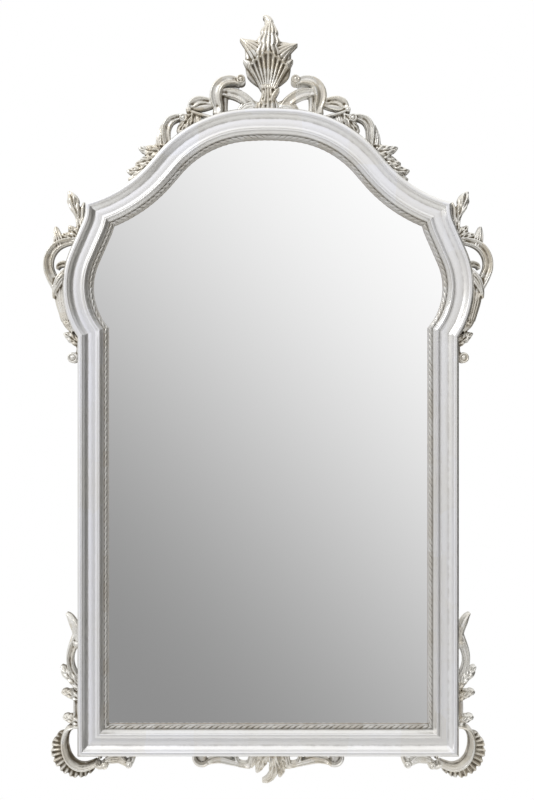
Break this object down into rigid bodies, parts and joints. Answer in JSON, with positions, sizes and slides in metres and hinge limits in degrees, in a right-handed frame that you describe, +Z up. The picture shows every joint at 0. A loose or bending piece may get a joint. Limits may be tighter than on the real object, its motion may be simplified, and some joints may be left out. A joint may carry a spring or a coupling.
{
  "type": "wall mirror",
  "caption": "Tall arched wall mirror in a silvered baroque moulding with pierced scroll and acanthus castings; hangs from two D rings.",
  "frame": {"origin": "bottom centre of the bounding box: the middle of the width and of the depth, level with the lowest tip of the apron", "axes": "+Z up, the glass faces -Y, the wall is on the +Y side"},
  "size_m": [1.0108, 0.0542, 1.7217],
  "materials": {
    "silvered_moulding": "silver leaf over bole, lightly aged, satin",
    "silvered_slip": "silver leaf with umber wash in the hollows, satin",
    "silvered_casting": "cast resin, champagne silver leaf with umber wash, satin",
    "silvered_glass": "polished, silvered",
    "hardboard": "bare hardboard, matte",
    "bare_wood": "bare hardwood",
    "felt": "felt",
    "rubber": "matte",
    "plated_steel": "zinc plated, satin"
  },
  "bodies": {
    "frame": {"apron_casting": "silvered_casting", "arch_rail_left": "silvered_moulding", "arch_rail_right": "silvered_moulding", "arch_slip_left": "silvered_slip", "arch_slip_right": "silvered_slip", "back_panel": "hardboard", "bottom_rail": "silvered_moulding", "bottom_slip": "silvered_slip", "button_screws": "plated_steel", "crest_palmette": "silvered_casting", "crest_scroll_left": "silvered_casting", "crest_scroll_right": "silvered_casting", "foot_scroll_left": "silvered_casting", "foot_scroll_right": "silvered_casting", "glazing_tape": "felt", "hanger_screws": "plated_steel", "hanger_strap_left": "plated_steel", "hanger_strap_right": "plated_steel", "mending_plates": "plated_steel", "mirror_glass": "silvered_glass", "mitre_tongues": "bare_wood", "plate_screws": "plated_steel", "setting_blocks": "rubber", "shoulder_rail_left": "silvered_moulding", "shoulder_rail_right": "silvered_moulding", "shoulder_slip_left": "silvered_slip", "shoulder_slip_right": "silvered_slip", "shoulder_spray_left": "silvered_casting", "shoulder_spray_right": "silvered_casting", "side_acanthus_left": "silvered_casting", "side_acanthus_right": "silvered_casting", "stile_left": "silvered_moulding", "stile_right": "silvered_moulding", "stile_slip_left": "silvered_slip", "stile_slip_right": "silvered_slip", "wall_bumpers": "rubber"},
    "ring_right": {"hanger_ring_right": "plated_steel"},
    "ring_left": {"hanger_ring_left": "plated_steel"},
    "turn_button_1": {"turn_button_1": "plated_steel"},
    "turn_button_2": {"turn_button_2": "plated_steel"},
    "turn_button_3": {"turn_button_3": "plated_steel"},
    "turn_button_4": {"turn_button_4": "plated_steel"},
    "turn_button_5": {"turn_button_5": "plated_steel"},
    "turn_button_6": {"turn_button_6": "plated_steel"},
    "turn_button_7": {"turn_button_7": "plated_steel"},
    "turn_button_8": {"turn_button_8": "plated_steel"}
  },
  "joints": [
    {"name": "ring_right_swing", "type": "hinge", "parent": "frame", "child": "ring_right", "pos_m": [0.396, 0.02312, 0.96815], "axis": [-1, 0, 0], "range_deg": [-7, 165]},
    {"name": "ring_left_swing", "type": "hinge", "parent": "frame", "child": "ring_left", "pos_m": [-0.396, 0.02312, 0.96815], "axis": [-1, 0, 0], "range_deg": [-7, 165]},
    {"name": "turn_button_1_turn", "type": "hinge", "parent": "frame", "child": "turn_button_1", "pos_m": [0.393, 0.02031, 0.31315], "axis": [0, 1, 0], "range_deg": [-90, 90]},
    {"name": "turn_button_2_turn", "type": "hinge", "parent": "frame", "child": "turn_button_2", "pos_m": [0.393, 0.02031, 0.78314], "axis": [0, 1, 0], "range_deg": [-90, 90]},
    {"name": "turn_button_3_turn", "type": "hinge", "parent": "frame", "child": "turn_button_3", "pos_m": [0.19, 0.02031, 0.09614], "axis": [0, 1, 0], "range_deg": [-90, 90]},
    {"name": "turn_button_4_turn", "type": "hinge", "parent": "frame", "child": "turn_button_4", "pos_m": [0.15682, 0.02031, 1.44524], "axis": [0, 1, 0], "range_deg": [-90, 90]},
    {"name": "turn_button_5_turn", "type": "hinge", "parent": "frame", "child": "turn_button_5", "pos_m": [-0.393, 0.02031, 0.31315], "axis": [0, 1, 0], "range_deg": [-90, 90]},
    {"name": "turn_button_6_turn", "type": "hinge", "parent": "frame", "child": "turn_button_6", "pos_m": [-0.393, 0.02031, 0.78314], "axis": [0, 1, 0], "range_deg": [-90, 90]},
    {"name": "turn_button_7_turn", "type": "hinge", "parent": "frame", "child": "turn_button_7", "pos_m": [-0.19, 0.02031, 0.09614], "axis": [0, 1, 0], "range_deg": [-90, 90]},
    {"name": "turn_button_8_turn", "type": "hinge", "parent": "frame", "child": "turn_button_8", "pos_m": [-0.15682, 0.02031, 1.44524], "axis": [0, 1, 0], "range_deg": [-90, 90]}
  ]
}
